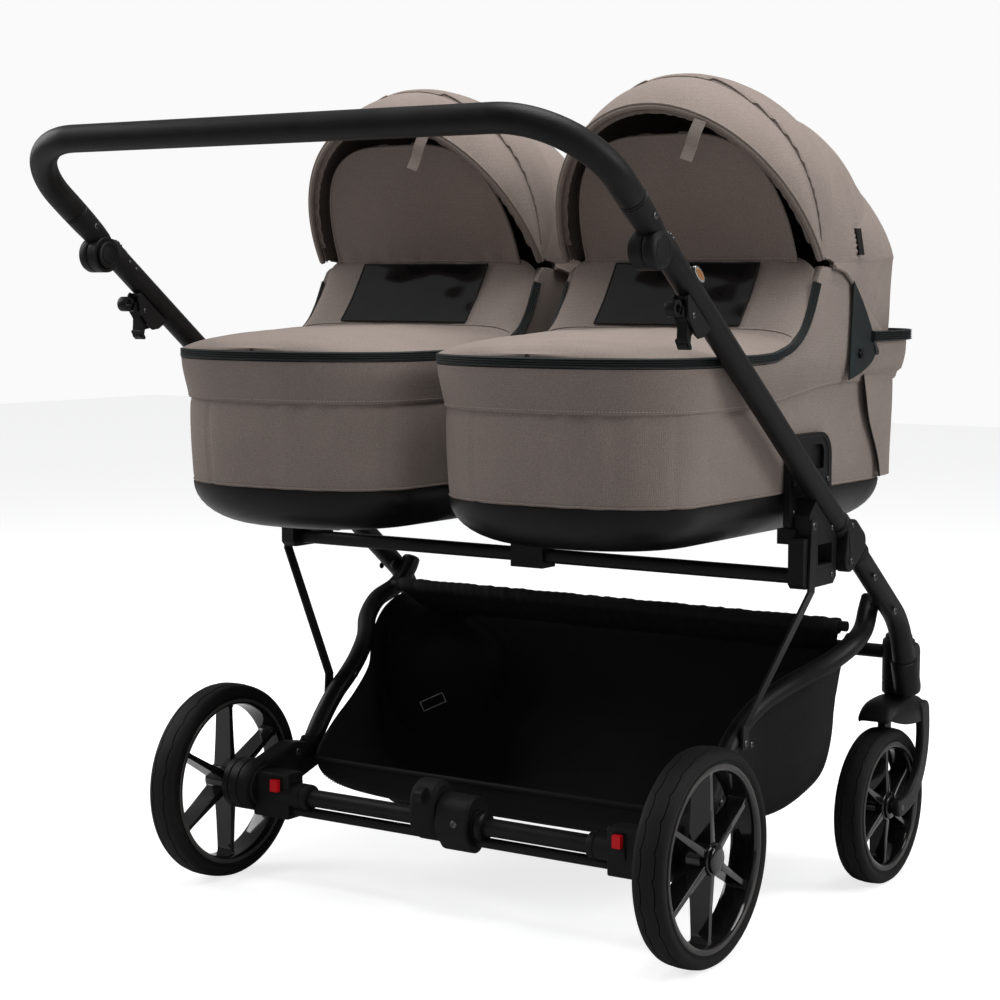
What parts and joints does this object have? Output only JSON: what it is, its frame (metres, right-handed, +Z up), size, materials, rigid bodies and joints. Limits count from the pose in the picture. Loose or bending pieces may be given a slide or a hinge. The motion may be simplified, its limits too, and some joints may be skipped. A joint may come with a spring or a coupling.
{
  "type": "twin pram",
  "caption": "Side-by-side twin pram with removable hooded carrycots on a folding four-wheel chassis, with a swinging handlebar, swivel castors, foot brake and shopping basket.",
  "frame": {"origin": "on the floor, at the bottom centre of the bounding box", "axes": "+Z up, +Y the way the pram is pushed, +X the pusher's right hand"},
  "size_m": [0.81, 0.8959, 1.0191],
  "materials": {
    "matt_black": "fine matt powder coat",
    "satin_plastic": "satin moulded",
    "grip": "smooth stitched sleeve",
    "gloss_black": "gloss moulded",
    "tyre": "solid foam tyre, ribbed shoulders",
    "taupe_cloth": "plain weave, matt",
    "black_cloth": "ripstop lining, matt",
    "red": "satin moulded"
  },
  "bodies": {
    "chassis": {"front_tube_L": "matt_black", "front_tube_R": "matt_black", "lower_joint_L": "satin_plastic", "lower_joint_R": "satin_plastic", "front_housing_L": "satin_plastic", "front_housing_R": "satin_plastic", "front_cross_tube": "matt_black"},
    "upper_frame": {"side_tube_L": "matt_black", "side_tube_R": "matt_black", "upper_joint_L": "satin_plastic", "upper_joint_R": "satin_plastic", "seat_bracket_L": "satin_plastic", "seat_bracket_R": "satin_plastic", "hub_housing_L": "satin_plastic", "hub_housing_R": "satin_plastic", "trigger_housing_L": "satin_plastic", "trigger_housing_R": "satin_plastic", "upper_cross_bar": "matt_black", "centre_mount": "satin_plastic"},
    "handle": {"handle_grip": "grip", "handle_collar_L": "satin_plastic", "handle_collar_R": "satin_plastic"},
    "rear_frame": {"rear_leg_L": "matt_black", "rear_leg_R": "matt_black", "axle_housing_L": "satin_plastic", "axle_housing_R": "satin_plastic", "rear_axle_tube": "matt_black", "brake_rod": "matt_black", "brake_housing": "satin_plastic", "basket_front_bar": "matt_black", "basket": "black_cloth"},
    "pedal": {"brake_pedal": "satin_plastic"},
    "cap_L": {"hub_button_L": "satin_plastic"},
    "lever_L": {"trigger_lever_L": "satin_plastic"},
    "release_L": {"red_button_L": "red"},
    "strap_L": {"link_L": "matt_black"},
    "rear_wheel_L": {"rear_tyre_L": "tyre", "rear_rim_L": "gloss_black"},
    "castor_L": {"fork_L": "satin_plastic"},
    "front_wheel_L": {"front_tyre_L": "tyre", "front_rim_L": "gloss_black"},
    "cot_L": {"cot_tray_L": "satin_plastic", "cot_body_L": "taupe_cloth", "cot_apron_L": "taupe_cloth", "cot_hood_L": "taupe_cloth"},
    "bow_L": {"hood_bow_L": "taupe_cloth"},
    "cap_R": {"hub_button_R": "satin_plastic"},
    "lever_R": {"trigger_lever_R": "satin_plastic"},
    "release_R": {"red_button_R": "red"},
    "strap_R": {"link_R": "matt_black"},
    "rear_wheel_R": {"rear_tyre_R": "tyre", "rear_rim_R": "gloss_black"},
    "castor_R": {"fork_R": "satin_plastic"},
    "front_wheel_R": {"front_tyre_R": "tyre", "front_rim_R": "gloss_black"},
    "cot_R": {"cot_tray_R": "satin_plastic", "cot_body_R": "taupe_cloth", "cot_apron_R": "taupe_cloth", "cot_hood_R": "taupe_cloth"},
    "bow_R": {"hood_bow_R": "taupe_cloth"}
  },
  "joints": [
    {"name": "fold", "type": "hinge", "parent": "chassis", "child": "upper_frame", "pos_m": [0, 0.1536, 0.43611], "axis": [1, 0, 0], "range_deg": [0, 25], "deforming": ["basket"]},
    {"name": "rear_fold", "type": "hinge", "parent": "chassis", "child": "rear_frame", "pos_m": [0, 0.27913, 0.364], "axis": [1, 0, 0], "range_deg": [0, 10.3]},
    {"name": "handle_tilt", "type": "hinge", "parent": "upper_frame", "child": "handle", "pos_m": [0, -0.29187, 0.8], "axis": [1, 0, 0], "range_deg": [-12, 75]},
    {"name": "brake_pedal", "type": "hinge", "parent": "rear_frame", "child": "pedal", "pos_m": [0, -0.11287, 0.119], "axis": [1, 0, 0], "range_deg": [0, 22]},
    {"name": "link_L", "type": "hinge", "parent": "upper_frame", "child": "strap_L", "pos_m": [-0.388, 0.07373, 0.4842], "axis": [1, 0, 0], "range_deg": [-16, 0]},
    {"name": "hub_button_L", "type": "slide", "parent": "handle", "child": "cap_L", "axis": [-1, 0, 0], "range_m": [0, 0.004], "stiffness_N_per_m": 800, "springref_m": -0.002},
    {"name": "trigger_L", "type": "hinge", "parent": "upper_frame", "child": "lever_L", "pos_m": [-0.388, -0.22218, 0.73172], "axis": [1, 0, 0], "range_deg": [0, 15], "stiffness_Nm_per_rad": 0.6, "springref_deg": -8.59},
    {"name": "red_button_L", "type": "slide", "parent": "rear_frame", "child": "release_L", "axis": [0, 1, 0], "range_m": [0, 0.0025], "stiffness_N_per_m": 600, "springref_m": -0.002},
    {"name": "rear_wheel_L", "type": "hinge", "parent": "rear_frame", "child": "rear_wheel_L", "pos_m": [-0.353, -0.11287, 0.125], "axis": [1, 0, 0], "continuous": true},
    {"name": "fork_swivel_L", "type": "hinge", "parent": "chassis", "child": "castor_L", "pos_m": [-0.3648, 0.38413, 0.2365], "axis": [0, 0, 1], "continuous": true},
    {"name": "front_wheel_L", "type": "hinge", "parent": "castor_L", "child": "front_wheel_L", "pos_m": [-0.3648, 0.33113, 0.1], "axis": [1, 0, 0], "continuous": true},
    {"name": "cot_lift_L", "type": "slide", "parent": "upper_frame", "child": "cot_L", "axis": [0, 0, 1], "range_m": [0, 0.06]},
    {"name": "hood_fold_L", "type": "hinge", "parent": "cot_L", "child": "bow_L", "pos_m": [-0.197, 0.12713, 0.789], "axis": [1, 0, 0], "range_deg": [-95, 0], "deforming": ["cot_hood_L"]},
    {"name": "link_R", "type": "hinge", "parent": "upper_frame", "child": "strap_R", "pos_m": [0.388, 0.07373, 0.4842], "axis": [1, 0, 0], "range_deg": [-16, 0]},
    {"name": "hub_button_R", "type": "slide", "parent": "handle", "child": "cap_R", "axis": [1, 0, 0], "range_m": [0, 0.004], "stiffness_N_per_m": 800, "springref_m": -0.002},
    {"name": "trigger_R", "type": "hinge", "parent": "upper_frame", "child": "lever_R", "pos_m": [0.388, -0.22218, 0.73172], "axis": [1, 0, 0], "range_deg": [0, 15], "stiffness_Nm_per_rad": 0.6, "springref_deg": -8.59},
    {"name": "red_button_R", "type": "slide", "parent": "rear_frame", "child": "release_R", "axis": [0, 1, 0], "range_m": [0, 0.0025], "stiffness_N_per_m": 600, "springref_m": -0.002},
    {"name": "rear_wheel_R", "type": "hinge", "parent": "rear_frame", "child": "rear_wheel_R", "pos_m": [0.353, -0.11287, 0.125], "axis": [1, 0, 0], "continuous": true},
    {"name": "fork_swivel_R", "type": "hinge", "parent": "chassis", "child": "castor_R", "pos_m": [0.3648, 0.38413, 0.2365], "axis": [0, 0, 1], "continuous": true},
    {"name": "front_wheel_R", "type": "hinge", "parent": "castor_R", "child": "front_wheel_R", "pos_m": [0.3648, 0.33113, 0.1], "axis": [1, 0, 0], "continuous": true},
    {"name": "cot_lift_R", "type": "slide", "parent": "upper_frame", "child": "cot_R", "axis": [0, 0, 1], "range_m": [0, 0.06]},
    {"name": "hood_fold_R", "type": "hinge", "parent": "cot_R", "child": "bow_R", "pos_m": [0.197, 0.12713, 0.789], "axis": [1, 0, 0], "range_deg": [-95, 0], "deforming": ["cot_hood_R"]}
  ],
  "couplings": [
    {"joint": "rear_fold", "follows": "fold", "ratio": 0.41},
    {"joint": "link_L", "follows": "fold", "ratio": -0.63},
    {"joint": "link_R", "follows": "fold", "ratio": -0.63}
  ]
}
